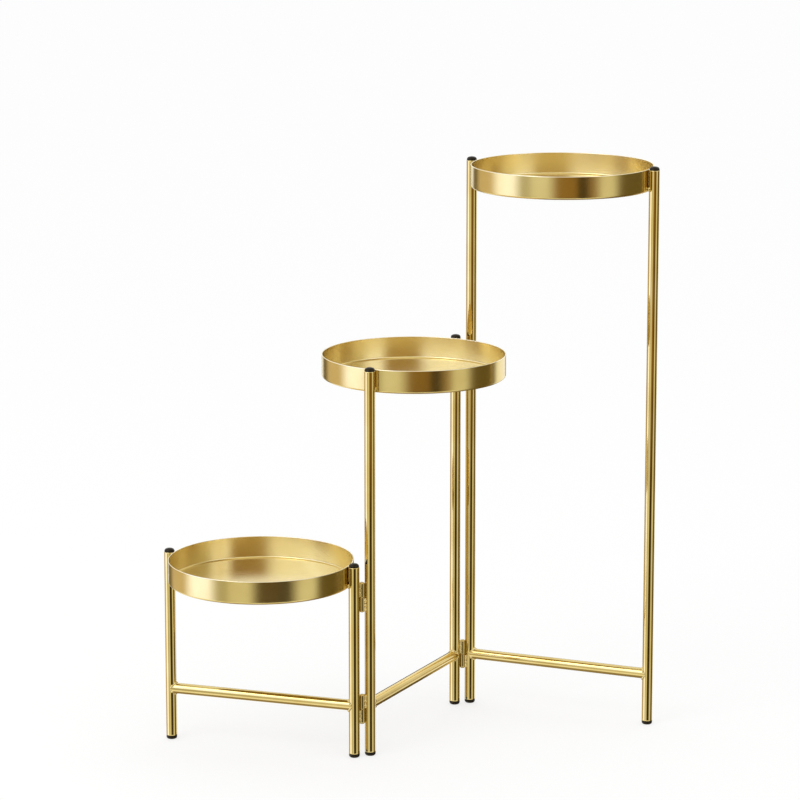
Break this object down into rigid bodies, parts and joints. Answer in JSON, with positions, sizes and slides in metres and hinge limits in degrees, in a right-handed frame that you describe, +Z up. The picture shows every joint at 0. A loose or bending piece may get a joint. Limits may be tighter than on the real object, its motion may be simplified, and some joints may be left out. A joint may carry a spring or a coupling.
{
  "type": "folding plant stand",
  "caption": "Folding metal plant stand: tube frames of stepped height, each with a round shallow tray, joined by barrel hinges so that they zigzag on the floor or fold flat.",
  "frame": {"origin": "on the floor, under the middle of the stand's box as it is set up in the picture", "axes": "+Z up; +X from the low frame towards the tall frame; +Y away from a viewer who sees the low frame on the left"},
  "size_m": [0.644, 0.3946, 0.75],
  "materials": {
    "gold_tube": "polished gold-tone plating on steel tube",
    "gold_tray": "satin gold-tone plating on sheet steel",
    "gold_hinge": "polished gold-tone plating on turned steel",
    "gold_weld": "rippled weld bead, plated over in gold tone",
    "bare_pin": "bare drawn steel",
    "black_plug": "semi-gloss moulded black plastic"
  },
  "bodies": {
    "mid_frame": {"low_lower_hinge_top_knuckle": "gold_hinge", "low_upper_hinge_bottom_knuckle": "gold_hinge", "low_upper_hinge_pin": "bare_pin", "mid_crossbar": "gold_tube", "mid_crossbar_welds": "gold_weld", "mid_hinge_welds": "gold_weld", "mid_left_cap": "black_plug", "mid_left_foot": "black_plug", "mid_left_leg": "gold_tube", "mid_right_cap": "black_plug", "mid_right_foot": "black_plug", "mid_right_leg": "gold_tube", "mid_tray": "gold_tray", "mid_tray_welds": "gold_weld", "tall_lower_hinge_top_knuckle": "gold_hinge", "tall_upper_hinge_bottom_knuckle": "gold_hinge", "tall_upper_hinge_pin": "bare_pin"},
    "low_frame": {"low_crossbar": "gold_tube", "low_crossbar_welds": "gold_weld", "low_hinge_welds": "gold_weld", "low_left_cap": "black_plug", "low_left_foot": "black_plug", "low_left_leg": "gold_tube", "low_lower_hinge_bottom_knuckle": "gold_hinge", "low_lower_hinge_pin": "bare_pin", "low_right_cap": "black_plug", "low_right_foot": "black_plug", "low_right_leg": "gold_tube", "low_tray": "gold_tray", "low_tray_welds": "gold_weld", "low_upper_hinge_top_knuckle": "gold_hinge"},
    "tall_frame": {"tall_crossbar": "gold_tube", "tall_crossbar_welds": "gold_weld", "tall_hinge_welds": "gold_weld", "tall_left_cap": "black_plug", "tall_left_foot": "black_plug", "tall_left_leg": "gold_tube", "tall_lower_hinge_bottom_knuckle": "gold_hinge", "tall_lower_hinge_pin": "bare_pin", "tall_right_cap": "black_plug", "tall_right_foot": "black_plug", "tall_right_leg": "gold_tube", "tall_tray": "gold_tray", "tall_tray_welds": "gold_weld", "tall_upper_hinge_top_knuckle": "gold_hinge"}
  },
  "joints": [
    {"name": "low_fold", "type": "hinge", "parent": "mid_frame", "child": "low_frame", "pos_m": [-0.06364, -0.11272, 0], "axis": [0, 0, 1], "range_deg": [-97.8, 82.2]},
    {"name": "tall_fold", "type": "hinge", "parent": "mid_frame", "child": "tall_frame", "pos_m": [0.0702, 0.12264, 0], "axis": [0, 0, 1], "range_deg": [-93.4, 86.6]}
  ]
}
